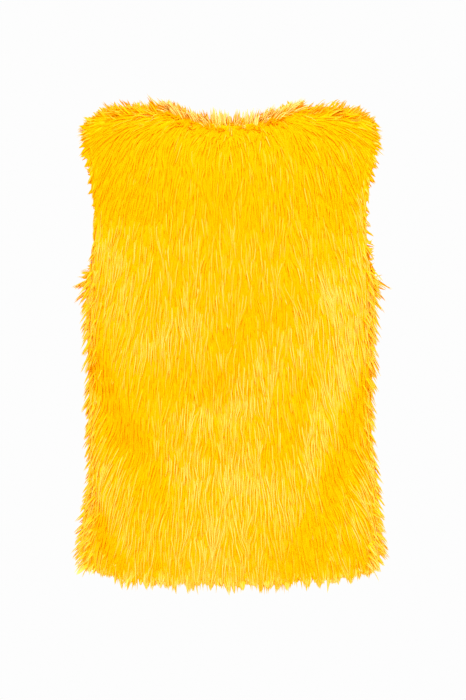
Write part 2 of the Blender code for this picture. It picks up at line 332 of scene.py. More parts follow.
# %% Arithmetic on sockets
class Value:
    """An output socket in a material. Arithmetic with numbers or other values adds Math nodes."""

    def __init__(self, tree, socket=None):
        self.tree = tree
        self.socket = socket

    def node(self, kind, settings=None, inputs=None, output=0):
        """A new node of that type, as the value of one of its outputs."""
        made = self.tree.nodes.new(kind)
        for name, value in (settings or {}).items():
            setattr(made, name, value)
        for name, value in (inputs or {}).items():
            if isinstance(value, Value):
                self.tree.links.new(value.socket, made.inputs[name])
            else:
                made.inputs[name].default_value = value
        return Value(self.tree, made.outputs[output])

    def math(self, operation, first, second=0.0):
        """The outcome of a Math node."""
        return self.node("ShaderNodeMath", {"operation": operation}, {0: first, 1: second})

    def __add__(self, other):
        return self.math("ADD", self, other)

    def __sub__(self, other):
        return self.math("SUBTRACT", self, other)

    def __rsub__(self, other):
        return self.math("SUBTRACT", other, self)

    def __mul__(self, other):
        return self.math("MULTIPLY", self, other)

    def within_one(self):
        """The value, held between 0 and 1."""
        return self.math("MAXIMUM", self.math("MINIMUM", self, 1.0), 0.0)

    def mix(self, first, second):
        """A colour between first and second, by this value."""
        settings = {"data_type": "RGBA", "clamp_factor": True}
        return self.node("ShaderNodeMix", settings, {0: self, 6: first, 7: second}, output=2)

    __radd__ = __add__
    __rmul__ = __mul__


def new_material(name):
    """A material with only a Principled shader, and a value to start its nodes from."""
    material = bpy.data.materials.new(name)
    material.use_nodes = True
    shader = material.node_tree.nodes["Principled BSDF"]
    return material, shader, Value(material.node_tree)


def feed(shader, name, value):
    """Links a value into one of the shader's sockets."""
    value.tree.links.new(value.socket, shader.inputs[name])


# %% [markdown]
# ## The colour of the pile
# Long pile looks deep between its locks, where little light gets out. A painted highlight, a paler
# colour, lies on the crests near the tips. Light grows redder each time it bounces from lock to
# lock, so the roots are painted a lighter yellow than the rest, as painted light against that
# shade, or the gaps would turn brown. Faint streaks run down each lock, where fibres part. A lock
# carries
# three numbers for all this: how far along it a point lies, whether that point is on its crest, and
# its tone, from deep to pale, which holds random differences in the fur's own colour and painted
# light and shade besides.

# %% Pile material
# painted light: the roots are a lighter yellow, set against the shade in the gaps
ROOT_COLOUR = (0.99, 0.640, 0.0006, 1)
# partly the fur's own random tone, partly painted shade from the patches
DEEP_COLOUR = (0.99, 0.405, 0.0001, 1)
BODY_COLOUR = (0.99, 0.455, 0.0002, 1)
# painted highlight, put on the crests of the locks
PAINTED_HIGHLIGHT_COLOUR = (0.99, 0.635, 0.1250, 1)
# painted light through fine hair, on the neckline fringe and the strands below the hem
FRINGE_COLOUR = (0.99, 0.760, 0.1900, 1)


def pile_material(name):
    """Yellow fur. A tone of 0 is deep, 0.5 plain and 1 pale, a painted highlight on the crests.
    Above 1 a strand is painted pale all round.
    """
    material, shader, start = new_material(name)
    far = start.node("ShaderNodeAttribute", {"attribute_name": "along"}, output=2)
    crest = start.node("ShaderNodeAttribute", {"attribute_name": "crest"}, output=2)
    tone = start.node("ShaderNodeAttribute", {"attribute_name": "tone"}, output=2)
    uv = start.node("ShaderNodeUVMap", {"uv_map": "OFBake"})
    stretched = start.node("ShaderNodeMapping", {}, {0: uv, "Scale": (1500.0, 110.0, 1.0)})
    streak = start.node("ShaderNodeTexNoise", {}, {0: stretched, "Scale": 1.0, "Detail": 2.0})
    shade = tone + (streak - 0.5) * 0.3
    # deeper where the tone is low: the fur's own random tone, and painted shade
    deep = ((0.45 - shade) * 2.6).within_one().mix(BODY_COLOUR, DEEP_COLOUR)
    all_round = ((tone - 1.0) * 3.0).within_one()
    ridge = (crest * 2.2 - 0.75 + all_round).within_one() * (far * 2.5).within_one()
    # painted highlight on the crests of the paler locks
    pale = ((shade - 0.48) * 2.6).within_one() * ridge
    outside = pale.mix(deep, all_round.mix(PAINTED_HIGHLIGHT_COLOUR, FRINGE_COLOUR))
    # the root part is painted a lighter yellow, as painted light against the shade in the gaps
    feed(shader, "Base Color", (far * 3.0 - 0.2).within_one().mix(ROOT_COLOUR, outside))
    feed(shader, "Roughness", 0.62 - streak * 0.2)
    bump = {"Strength": 0.35, "Distance": 0.0006, "Height": streak}
    feed(shader, "Normal", start.node("ShaderNodeBump", {}, bump))
    shader.inputs["Specular IOR Level"].default_value = 0.005
    return material


fur_colour = pile_material("long_pile")
print("pile material:", fur_colour.name)

# %% [markdown]
# ## The backing cloth
# Under the pile is a warp-knitted backing. From outside it is only a deep yellow ground between
# the locks, painted a little lighter than the pile as painted light against the shade in the gaps,
# and deeper near the free edges as painted shade. The hollow of the vest shows its plain side
# through the neck, the armholes and the gap between the fronts: fine upright ribs, a little paler
# and quite matt, with painted shade in the grooves between ribs and rows. The ribs follow the
# cloth's own map, whose units are metres round the body and up.

# %% Backing materials
def ground_material():
    """The pile's own ground, seen between the locks."""
    material, shader, start = new_material("pile_ground")
    place = start.node("ShaderNodeTexCoord", output=3)
    stretched = start.node("ShaderNodeMapping", {}, {0: place, "Scale": (500.0, 500.0, 60.0)})
    streak = start.node("ShaderNodeTexNoise", {}, {0: stretched, "Scale": 1.0, "Detail": 3.0})
    # painted light: the ground is a lighter yellow than the pile's body, against the shade in the
    # gaps
    plain = streak.mix((0.99, 0.52, 0.0004, 1), (0.99, 0.56, 0.0010, 1))
    # painted shade: near the free edges, except up at the neckline, the ground is painted deeper
    painted_shade_by_edge = streak.mix((0.99, 0.47, 0.0003, 1), (0.99, 0.53, 0.0008, 1))
    edge = start.node("ShaderNodeAttribute", {"attribute_name": "edge"}, output=2)
    feed(shader, "Base Color", edge.mix(plain, painted_shade_by_edge))
    feed(shader, "Roughness", streak * 0.2 + 0.65)
    bump = {"Strength": 0.6, "Distance": 0.002, "Height": streak}
    feed(shader, "Normal", start.node("ShaderNodeBump", {}, bump))
    shader.inputs["Specular IOR Level"].default_value = 0.04
    return material


RIB_PITCH = 0.0016  # between two ribs of the knit
COURSE_PITCH = 0.0011  # between two rows of stitches


def knit_material():
    """The knitted side of the backing."""
    material, shader, start = new_material("knitted_backing")
    uv = start.node("ShaderNodeUVMap", {"uv_map": "cloth"})
    across = start.node("ShaderNodeSeparateXYZ", {}, {0: uv}, output=0)
    up = start.node("ShaderNodeSeparateXYZ", {}, {0: uv}, output=1)
    rib = start.math("SINE", across * (2 * math.pi / RIB_PITCH)) * 0.5 + 0.5
    course = start.math("SINE", up * (2 * math.pi / COURSE_PITCH)) * 0.5 + 0.5
    patchy = start.node("ShaderNodeTexNoise", {}, {0: uv, "Scale": 60.0, "Detail": 3.0})
    height = rib * 0.7 + course * 0.3 + patchy * 0.4
    # painted shade: the yarn is painted darker where the ribs and rows dip and paler on their tops;
    # the patchy part is the yarn's own
    yarn_and_groove_shade = (height * 0.7).within_one().mix((0.78, 0.42, 0.04, 1), (0.93, 0.62, 0.13, 1))
    feed(shader, "Base Color", yarn_and_groove_shade)
    feed(shader, "Roughness", patchy * 0.15 + 0.78)
    bump = {"Strength": 0.5, "Distance": 0.0004, "Height": height}
    feed(shader, "Normal", start.node("ShaderNodeBump", {}, bump))
    shader.inputs["Specular IOR Level"].default_value = 0.2
    return material


ground = ground_material()
knit = knit_material()
print("backing materials:", ground.name, knit.name)

# %% [markdown]
# ## The shells
# The backing could be modelled again from its sections, but the solid already has its form: its
# inner face is the backing's plain side. So a copy of the solid is squeezed towards its inner face,
# which leaves a thinner closed wall in the right place, and the creases are then pressed into it.
# It ends short of the free edges, where the pile alone rounds out, and shorter still above the
# hem, so that no bare rim shows where strands lie away from an edge.

# %% Shells of backing cloth
SHELL_SHARE = 0.81  # of the solid's wall that is backing and dense underfur
METRES_PER_RADIAN = 0.165  # round the body, for the cloth's map
FURTHER_BACK = 0.7  # how much more the shell stays back from its edges, above the hem
ABOVE_HEM = (-0.570, -0.520)  # heights between which that begins
# painted shade: the band over which the ground near an edge is painted deeper
EDGE_BAND = (0.012, 0.024)  # distances from an edge over which its deeper ground fades
NECK_HEIGHTS = (-0.100, -0.060)  # heights over which the neckline begins, on the way up


def shell_of(name):
    """The backing cloth of one piece, as a closed thin wall that replaces its solid."""
    wall = walls[name]
    mesh = wall["mesh"].copy()
    mesh.faces.ensure_lookup_table()
    inner = {face.index for face in wall["inner"]}
    corners = [[v.co for v in mesh.faces[i].verts] for i in sorted(inner)]
    flat = [co[:] for face in corners for co in face]
    tree = BVHTree.FromPolygons(flat, [[i, i + 1, i + 2] for i in range(0, len(flat), 3)])
    for vert in mesh.verts:
        base = tree.find_nearest(vert.co)[0]
        vert.co = base + (vert.co - base) * SHELL_SHARE
    for face in mesh.faces:
        face.material_index = int(face.index in inner)
        face.smooth = True
    bmesh.ops.subdivide_edges(mesh, edges=mesh.edges, cuts=1, use_grid_fill=True)
    bmesh.ops.triangulate(mesh, faces=mesh.faces)
    points = np.array([vert.co for vert in mesh.verts])
    _, way, _ = on_reach(points)
    further = 1 + FURTHER_BACK * ease(points[:, 2], *ABOVE_HEM)[:, None]
    moved = points + way * crease_rise(points)[:, None] + retreat(points) * further
    moved[np.abs(points[:, 1]) < SEAM_REACH, 1] = points[np.abs(points[:, 1]) < SEAM_REACH, 1]
    cloth = mesh.loops.layers.uv.new("cloth")
    for vert, co in zip(mesh.verts, moved):
        vert.co = co
        around = math.atan2(co[0], abs(co[1]) + 0.02) * METRES_PER_RADIAN
        for loop in vert.link_loops:
            loop[cloth].uv = (around + 0.4, co[2] + 0.8)
    data = bpy.data.meshes.new(name + "_backing")
    mesh.to_mesh(data)
    mesh.free()
    far = np.array([edge_tree.find(point)[2] for point in points.tolist()])
    edge = data.attributes.new("edge", "FLOAT", "POINT")
    # painted shade near the free edges, except up at the neckline, read by the ground material
    painted_shade_by_edge = (1 - ease(points[:, 2], *NECK_HEIGHTS)) * (1 - ease(far, *EDGE_BAND))
    edge.data.foreach_set("value", painted_shade_by_edge.astype(np.float32))
    data.materials.append(ground)
    data.materials.append(knit)
    shell = bpy.data.objects.new(name + "_backing", data)
    bpy.context.scene.collection.objects.link(shell)
    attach(shell, "root")
    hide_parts(name)
    return shell


shells = {name: shell_of(name) for name in NODES}
for name, shell in shells.items():
    print(shell.name, len(shell.data.polygons), "triangles")

# %% [markdown]
# ## Painted light and turned pile
# Pile that leans towards the light looks deep and saturated, and pile that leans away shows pale
# flanks. Folds do this, and each patch paints it into the pile's colour: a paleness above 0 is a
# painted sheen, one below 0 painted shade. Each patch runs between two points and fades out
# sideways. A hand that brushed the vest turns its pile round as well, and the turn, in degrees, is
# how far its pile was pushed round.

# %% Patches of painted light and turned pile
NAP_AND_PAINTED_LIGHT_COLUMNS = ("face", "from_x", "from_z", "to_x", "to_z", "half_width", "paleness", "turn")
NAP_AND_PAINTED_LIGHT = (
    ("back", 0.182, -0.325, 0.125, -0.437, 0.017, -0.90, 10),
    ("back", 0.138, -0.423, 0.093, -0.502, 0.021, -0.55, 0),
    ("back", 0.171, -0.535, 0.148, -0.594, 0.012, -0.70, 0),
    ("back", 0.174, -0.456, 0.135, -0.574, 0.010, 0.35, 0),
    ("back", 0.158, -0.161, 0.142, -0.253, 0.021, 0.35, 0),
    ("back", 0.119, -0.312, 0.040, -0.277, 0.018, 0.40, 0),
    ("back", 0.106, -0.364, 0.020, -0.364, 0.024, -0.40, 0),
    ("back", -0.006, -0.299, -0.091, -0.240, 0.026, -0.35, 0),
    ("back", 0.047, -0.397, -0.019, -0.384, 0.018, 0.60, 0),
    ("back", 0.060, -0.476, -0.026, -0.489, 0.024, 0.45, 0),
    ("back", 0.020, -0.555, 0.020, -0.594, 0.029, 0.60, 0),
    ("back", -0.026, -0.358, -0.091, -0.305, 0.024, 0.30, 0),
    ("back", -0.150, -0.240, -0.157, -0.332, 0.024, 0.60, 0),
    ("back", -0.137, -0.358, -0.104, -0.463, 0.021, 0.55, 0),
    ("back", -0.104, -0.345, -0.069, -0.450, 0.009, -0.50, 0),
    ("back", -0.186, -0.345, -0.137, -0.476, 0.018, -0.60, 0),
    ("back", -0.137, -0.489, -0.085, -0.594, 0.026, -0.50, 0),
    ("back", -0.150, -0.568, -0.177, -0.594, 0.013, -0.40, 0),
    ("back", -0.180, -0.476, -0.159, -0.555, 0.009, 0.35, 0),
    ("back", -0.115, -0.214, -0.128, -0.259, 0.009, 0.70, 20),
    ("back", -0.049, -0.229, -0.091, -0.256, 0.008, 0.35, 18),
    ("back", -0.078, -0.515, -0.012, -0.476, 0.021, 0.30, 0),
    ("back", 0.053, -0.616, -0.012, -0.619, 0.008, -0.50, 0),
    ("back", 0.171, -0.030, 0.086, -0.050, 0.026, -0.25, 0),
    ("back", -0.157, -0.015, -0.078, -0.026, 0.020, -0.15, 0),
    ("back", 0.174, -0.069, 0.158, -0.122, 0.029, -0.30, 0),
    ("back", -0.173, -0.109, -0.173, -0.207, 0.010, 0.50, 0),
    ("back", 0.182, -0.141, 0.177, -0.174, 0.010, 0.40, 0),
    ("front", 0.160, -0.330, 0.100, -0.450, 0.020, -0.60, 8),
    ("front", 0.150, -0.470, 0.130, -0.590, 0.016, 0.45, 0),
    ("front", 0.085, -0.200, 0.060, -0.330, 0.022, 0.45, -10),
    ("front", 0.060, -0.420, 0.050, -0.560, 0.018, -0.40, 0),
    ("front", 0.140, -0.050, 0.080, -0.090, 0.030, -0.40, 0),
    ("front", -0.165, -0.350, -0.110, -0.460, 0.020, -0.55, -8),
    ("front", -0.150, -0.480, -0.120, -0.600, 0.018, 0.40, 0),
    ("front", -0.080, -0.180, -0.090, -0.300, 0.024, 0.40, 0),
    ("front", -0.055, -0.360, -0.070, -0.500, 0.018, 0.45, 12),
    ("front", -0.140, -0.040, -0.085, -0.080, 0.030, -0.40, 0),
)
PAINTED_SHADE_ABOVE = (-0.200, -0.105)  # painted shade: from here up the pile is painted deeper in colour


def painted_light_and_turn(points):
    """The painted sheen and shade, as a paleness, and the turn of the pile at each point."""
    paleness = 0.12 - 0.42 * ease(points[:, 2], *PAINTED_SHADE_ABOVE)
    turn = np.zeros(len(points))
    for row in NAP_AND_PAINTED_LIGHT:
        patch = dict(zip(NAP_AND_PAINTED_LIGHT_COLUMNS, row))
        near, _ = from_line(points, patch)
        paleness += near * patch["paleness"]
        turn += near * math.radians(patch["turn"])
    return paleness, turn


print(len(NAP_AND_PAINTED_LIGHT), "brushed patches")

# %% [markdown]
# ## The lay of the fur
# Fur is combed: neighbours run the same way, and that way changes slowly over the vest. On the back
# it falls straight down in the middle and fans out from the neckline, leans outwards near the
# sides, most of all above the hem's corners, and is ruffled on the shoulders. The way is given as a
# plain direction in space, which is then laid flat on the cloth and turned a little by the drift,
# so locks run in shared soft waves. Strands that start free of the cloth point away from it too:
# those in tufts, those that spill over a rounded edge, and the fringe that rises on the neckline.

# %% Which way the fur lies
FAN_CENTRE = np.array([0.003, 0.0, -0.004])  # the middle of the neckline
FAN_REACH = 0.048  # how far from there it fans out
STANDING = 0.35  # how much a free strand points away from the cloth, beside the way it lies
SPILL = 0.7  # how much a strand on a rounded edge points over that edge
SIDE = 0.200  # half the vest's width
NECK_RADIUS = 0.082
UNDERARM = np.array([0.196, 0.0, -0.213])  # where an armhole meets the side


def ridge_table():
    """Distances from the middle, and how high the shoulders' ridge is there."""
    across = np.linspace(0.0, 0.2, 21)
    high = [reach_points[np.abs(np.abs(reach_points[:, 0]) - x) < 0.012, 2].max() for x in across]
    return across, np.array(high)


RIDGE = ridge_table()


def below_ridge(points):
    """How far each point lies below the shoulders' ridge."""
    return np.interp(np.abs(points[:, 0]), *RIDGE) - points[:, 2]


def on_shoulder(points):
    """0 towards the neck, 1 from there outwards."""
    return ease(np.abs(points[:, 0]), 0.060, 0.095)


def ruffled(points):
    """0 on the plain cloth, rising to 1 along the ridge of the shoulders."""
    return (1 - ease(below_ridge(points), 0.008, 0.030)) * on_shoulder(points)


def near_neckline(points):
    """1 at the neckline's edge, falling to nothing a little way down the cloth."""
    off = np.hypot(points[:, 0], points[:, 1]) - NECK_RADIUS
    return (1 - ease(off, 0.000, 0.013)) * ease(points[:, 2], *NECK_HEIGHTS)


def near_underarm(points):
    """1 where the armhole meets the side, falling to nothing around it."""
    off = np.abs(points) * (1, 1, -1) - UNDERARM
    return np.exp(-((off / (0.030, 0.045, 0.026)) ** 2).sum(axis=1))


def at_hem_corner(points):
    """1 at the lower corners of the silhouette."""
    return ease(np.abs(points[:, 0]), 0.120, 0.195) * ease(-points[:, 2], 0.43, 0.58)


def lay_of(points, way_out, own, free, fringe, over):
    """The direction that the fur runs in at each point.

    It is flat on the cloth, but strands that are free point away from it as well. own is each
    strand's liking for standing up where neighbours differ, from -1 to 1. fringe is 1 for the hair
    that stands along the neckline. over points over the edge, from a rounded rim."""
    x, y, z = points.T
    side, face = np.sign(x), np.where(y > 0, 1.0, -1.0)
    edge = np.clip(np.abs(x) / SIDE, 0, 1)
    lean = 0.06 * edge + 0.30 * edge**3 + 0.42 * at_hem_corner(points)
    lean += 2.0 * edge**3 * (1 - ease(below_ridge(points), 0.024, 0.072)) * (z > -0.2)
    way = np.stack([side * lean, 0 * x, -np.ones(len(x))], axis=1)
    off = points * (1, 0, 1) - FAN_CENTRE
    fan = 0.8 * np.exp(-((np.linalg.norm(off, axis=1) / FAN_REACH) ** 2))[:, None]
    way = unit(way) * (1 - fan) + unit(off) * fan
    turned = (1 - ease(below_ridge(points) + 0.008 * own, 0.018, 0.052)) * on_shoulder(points)
    outward = np.stack([side, 0 * x, -0.45 + 0 * x], axis=1)
    way = way * (1 - turned[:, None]) + outward * turned[:, None]
    top = ease(ruffled(points) + 0.30 * own, 0.25, 0.85)[:, None]
    up_and_out = np.stack([side * (1.0 + 0.6 * own), face * 0.1, 0.9 + 0 * x], axis=1)
    way = way * (1 - top) + up_and_out * top
    tuft = near_underarm(points)[:, None]
    way = way * (1 - tuft) + np.stack([side * 1.0, 0 * y, -0.35 + 0 * x], axis=1) * tuft
    neck = np.maximum(free * near_neckline(points), fringe)[:, None]
    rising = np.stack([x / NECK_RADIUS * 0.8, y / NECK_RADIUS * 0.2, 1.0 + 0 * x], axis=1)
    way = unit(way * (1 - neck) + rising * neck)
    flat = unit(way - along(way, way_out) * way_out)
    off_cloth = STANDING * (1 - 0.6 * fringe)[:, None]
    way = np.where(free[:, None], unit(way + off_cloth * way_out + over), flat)
    turn = 0.11 * drift(points, 0.030, 11) + 0.09 * drift(points, 0.014, 12)
    turn = (turn * (1 + 2.5 * ruffled(points)) + painted_light_and_turn(points)[1])[:, None]
    return way * np.cos(turn) + np.cross(way_out, way) * np.sin(turn)


print("the shoulders' ridge is highest at", RIDGE[1].max().round(3), "m")

# %% [markdown]
# ## Where the locks grow
# Roots are thrown on the outer faces at random, but never closer together than a set gap, so there
# are neither bald spots nor heaps. The outer half of each rounded free edge grows fur too.

# %% Roots
THROWS = 3.2  # tries for each square of the gap's size


def growing_faces(name):
    """The triangles that grow fur: the outer face, and the free edges' outward half."""
    wall = walls[name]
    rims = []
    for face in wall["rims"]:
        if all(abs(v.co.y) < SEAM_REACH for v in face.verts):
            continue
        centre = face.calc_center_median()
        if (reach_tree.find_nearest(centre)[0] - centre).length < 0.0075:
            rims.append(face)
    return np.array([[v.co[:] for v in face.verts] for face in wall["outer"] + rims])


def scatter_points(points, gap):
    """The numbers of the points that are left when each keeps a gap to those before it."""
    cells, kept = {}, []
    keys = np.floor(points / gap).astype(int).tolist()
    around = [(i, j, k) for i in (-1, 0, 1) for j in (-1, 0, 1) for k in (-1, 0, 1)]
    for number, (point, (x, y, z)) in enumerate(zip(points.tolist(), keys)):
        near = (other for i, j, k in around for other in cells.get((x + i, y + j, z + k), ()))
        if all(math.dist(point, other) > gap for other in near):
            cells.setdefault((x, y, z), []).append(point)
            kept.append(number)
    return np.array(kept)


def scatter(triangles, gap, seed):
    """Random places on the triangles, at least a gap apart."""
    rng = np.random.default_rng(seed)
    a, b, c = (triangles[:, i] for i in range(3))
    area = np.linalg.norm(np.cross(b - a, c - a), axis=1) / 2
    throws = int(area.sum() / gap**2 * THROWS)
    pick = rng.choice(len(area), throws, p=area / area.sum())
    u, v = rng.random((2, throws, 1))
    u, v = np.where(u + v > 1, 1 - u, u), np.where(u + v > 1, 1 - v, v)
    thrown = a[pick] + (b[pick] - a[pick]) * u + (c[pick] - a[pick]) * v
    return thrown[scatter_points(thrown, gap)]


print("fur grows on", [len(growing_faces(name)) for name in NODES], "triangles of the three walls")

# %% [markdown]
# ## Growing a lock
# A lock leaves the cloth, bends over and lies along it. It is walked from root to tip in a few
# steps: each step goes the way that the fur lies there, and is then set to its height above or
# below the reach of the fur. Past a free edge there is nothing to lie on, so the lock goes on the
# way it was going, droops a little, and is kept short, because the solid already ends where the
# fur does. Where the fur leads in from an edge, most strands on that edge lie back over the cloth
# and the rest spill over the edge, so it is covered from both sides.

# %% Walking from root to tip
STEPS = 5
ROOT_DEPTH = 0.0050  # below the reach of the fur
OVERHANG = (0.0025, 0.0160)  # past a free edge, shortest and longest
WANDER = 0.05  # how far single strands turn off the common way
LEADS_IN = 0.35  # how squarely the fur must lead in from an edge for strands to lie back there
BACK_OVER = (0.6, 0.8)  # the share of such strands that do, on the back and on the fronts
SOON = 0.15  # the power by which they come up to their height, sooner than all others
TUFT_REACH = 0.012  # what a strand in a tuft on the outline has besides
FLUFF_ABOVE = (0.001, 0.014)  # how far the ruffled shoulders' tips reach above their ridge


def standing(points):
    """Which strands stand free of the cloth, in small tufts on the shoulders and the outline."""
    outline = ease(np.abs(points[:, 0]), 0.170, 0.190)
    place = np.maximum(outline, near_underarm(points))
    tufty = drift(points, 0.011, 31)
    return (tufty > 2.0 - 1.3 * place) & (place > 0.3) | (tufty > 1.9 - 1.8 * ruffled(points))


def walk(roots, fringe, length, tip_height, rise, seed):
    """The path of each lock, the way out from the cloth along it, and whether it starts out free.

    fringe says which ones stand up along the neckline, and rise is the power that shapes how soon
    a strand comes up from its root to its height."""
    rng = np.random.default_rng(seed)
    count = len(roots)
    place, way_out, rim = on_reach(roots)
    own = rng.uniform(-1, 1, count)
    shoulder, neck = ruffled(place), near_neckline(place)
    inwards = edge_inwards[[edge_tree.find(point)[1] for point in place.tolist()]]
    none = np.zeros(count, bool)
    back_over = along(lay_of(place, way_out, own, none, none, 0), inwards)[:, 0] > LEADS_IN
    back_over &= rng.random(count) < np.where(place[:, 1] > 0.015, *BACK_OVER)
    rim &= ~back_over | fringe
    over = SPILL * (way_out - inwards) * (rim & ~fringe)[:, None]
    stands = standing(place) & ~rim
    free = rim | stands | fringe
    keeps_on = back_over & ~free
    outline = ease(np.abs(place[:, 0]), 0.165, 0.190)
    lift = tip_height - 0.0005 * shoulder - 0.0010 * outline
    spare = rng.uniform(*OVERHANG, count) * (1 + 0.40 * drift(place, 0.012, 33))
    spare = np.clip(spare, 0.002, 0.0175) * (1.3 - 0.3 * ease(place[:, 2], -0.590, -0.560))
    spare = spare * (1 - 0.35 * at_hem_corner(place)) + (ROOT_DEPTH - 0.3 * spare) * rim
    spare += TUFT_REACH * stands * outline
    spare = np.where(fringe, length, spare)
    above = rng.uniform(*FLUFF_ABOVE, count) * (1 + 0.5 * drift(place, 0.012, 34))
    fluff = np.clip(below_ridge(place) + above + ROOT_DEPTH, 0.011, 0.032)
    fluff = fluff * (1 - 0.4 * ease(np.abs(place[:, 0]), 0.150, 0.185))
    spare = np.where(stands & (shoulder > 0.1), fluff, spare)
    stride = np.where(free, spare, length) / STEPS
    turn = rng.normal(0, WANDER, count) * (1 + 1.5 * shoulder + neck)
    at = place + retreat(place) - way_out * ROOT_DEPTH
    path, outs = [at], [way_out]
    heading = None
    for step in range(1, STEPS + 1):
        share = step / STEPS
        flat = lay_of(at, way_out, own, free, fringe, over)
        angle = (turn * (0.4 + share))[:, None]
        flat = flat * np.cos(angle) + np.cross(way_out, flat) * np.sin(angle)
        if heading is None:
            heading = flat
        else:
            onward = unit(at - path[-2] - (0, 0, 0.0003))
            heading = np.where(free[:, None], onward, unit(0.35 * heading + flat))
        nearest, out, past = on_reach(at + heading * stride[:, None])
        past &= ~keeps_on | (step > 2)
        stride = np.where(past & ~free, spare / (STEPS - step + 1), stride)
        free = free | past
        height = -ROOT_DEPTH + (lift + ROOT_DEPTH) * share ** np.where(keeps_on, SOON, rise)
        resting = nearest + out * height[:, None]
        at = np.where(free[:, None], at + heading * stride[:, None], resting)
        way_out = np.where(free[:, None], way_out, out)
        path.append(at)
        outs.append(way_out)
    path, outs = np.stack(path, axis=1), np.stack(outs, axis=1)
    sink = crease_rise(path.reshape(-1, 3)).reshape(count, -1, 1)
    return path + outs * sink, outs, stands


print("a lock is walked in", STEPS, "steps from", ROOT_DEPTH, "m below the reach of the fur")

# %% [markdown]
# ## Tufts
# Neighbouring strands cling together. Strands near to each other share a leader, and lean over to
# it towards their tips. On the plain cloth they barely do; at the shoulders, the edges and the
# outline they gather into the pointed tufts that make fur look like fur.

# %% Gathering strands into tufts
TUFT_GAP = 0.0085  # between two leaders


def gather(roots, path, stands, seed):
    """The paths, each drawn to its nearest leader towards its tip."""
    rng = np.random.default_rng(seed)
    edges = np.array([edge_tree.find(root)[2] for root in roots.tolist()])
    special = np.maximum(0.5 * ruffled(roots), 1.2 - 1.2 * ease(edges, 0.016, 0.040))
    hold = (0.05 + 0.60 * np.maximum(special, stands)) * rng.uniform(0.75, 1.2, len(roots))
    hold *= 1 - 0.6 * near_neckline(roots)
    share = np.linspace(0, 1, path.shape[1]) ** 1.6
    gathered = path.copy()
    for group in (np.flatnonzero(stands), np.flatnonzero(~stands)):
        leaders = group[scatter_points(roots[group], TUFT_GAP)]
        tree = tree_of(roots[leaders])
        nearest = np.array([leaders[tree.find(root)[1]] for root in roots[group].tolist()])
        pull = np.clip(hold[group][:, None] * share, 0, 0.9)[:, :, None]
        gathered[group] += (path[nearest] - path[group]) * pull
    return gathered


print("leaders stand at least", TUFT_GAP, "m apart")

# %% [markdown]
# ## From paths to locks
# A lock is a spindle of three sides: two poles, and rings of three points between them, one point
# of each on its crest. Smooth shading turns that crest into a soft ridge. Tens of thousands of them
# would be slow to build one by one, so all the locks of a piece are made straight from arrays, as
# one mesh. Each also gets a cell of its own in the piece's map, in rows and columns, so a texture
# can be painted on every lock without overlaps.

# %% Locks from paths
RINGS = ((0.14, 0.85), (0.45, 1.0), (0.76, 0.72))  # share of the length, of the width
CORNERS = ((0.0, 0.20), (-0.5, -0.16), (0.5, -0.16))  # across and up, in widths


def along_path(path, share):
    """The points at that share of each path."""
    at = share * (path.shape[1] - 1)
    first = min(int(at), path.shape[1] - 2)
    return path[:, first] * (1 - at + first) + path[:, first + 1] * (at - first)


def lock_points(path, outs, width):
    """For each lock: the root pole, the rings' corners from root to tip, and the tip pole."""
    columns = [path[:, 0]]
    for share, wide in RINGS:
        at = along_path(path, share)
        ahead = unit(along_path(path, min(share + 0.12, 1.0)) - along_path(path, share - 0.1))
        out = unit(along_path(outs, share))
        across = unit(np.cross(ahead, out))
        up = np.cross(across, ahead)
        for sideways, upward in CORNERS:
            size = (width * wide)[:, None]
            columns.append(at + across * sideways * size + up * upward * size)
    columns.append(path[:, -1])
    return np.stack(columns, axis=1)


def lock_faces():
    """One lock's triangles, and each one's corners in the lock's cell of the map."""
    rings, faces, cells = len(RINGS), [], []
    tip = 1 + 3 * rings
    levels = [0.0] + [share for share, _ in RINGS] + [1.0]
    for side in range(3):
        left, right = side / 3, (side + 1) / 3
        a, b = side, (side + 1) % 3
        middle = (left + right) / 2
        faces.append((0, 1 + a, 1 + b))
        cells.append((middle, 0.0, left, levels[1], right, levels[1]))
        for ring in range(rings - 1):
            low_a, low_b = 1 + 3 * ring + a, 1 + 3 * ring + b
            high_a, high_b = low_a + 3, low_b + 3
            y0, y1 = levels[ring + 1], levels[ring + 2]
            faces += [(low_a, high_b, low_b), (low_a, high_a, high_b)]
            cells += [(left, y0, right, y1, right, y0), (left, y0, left, y1, right, y1)]
        faces.append((tip - 3 + b, tip - 3 + a, tip))
        cells.append((right, levels[-2], left, levels[-2], middle, 1.0))
    return np.array(faces), np.array(cells).reshape(-1, 3, 2)


def sharp_pairs():
    """Which pairs of a lock's points lie along the two edges of its flat underside."""
    last = 1 + 3 * len(RINGS)
    table = np.zeros((last + 1, last + 1), bool)
    for corner in (2, 3):
        line = [0, *range(corner, last, 3), last]
        table[line[:-1], line[1:]] = True
    return table


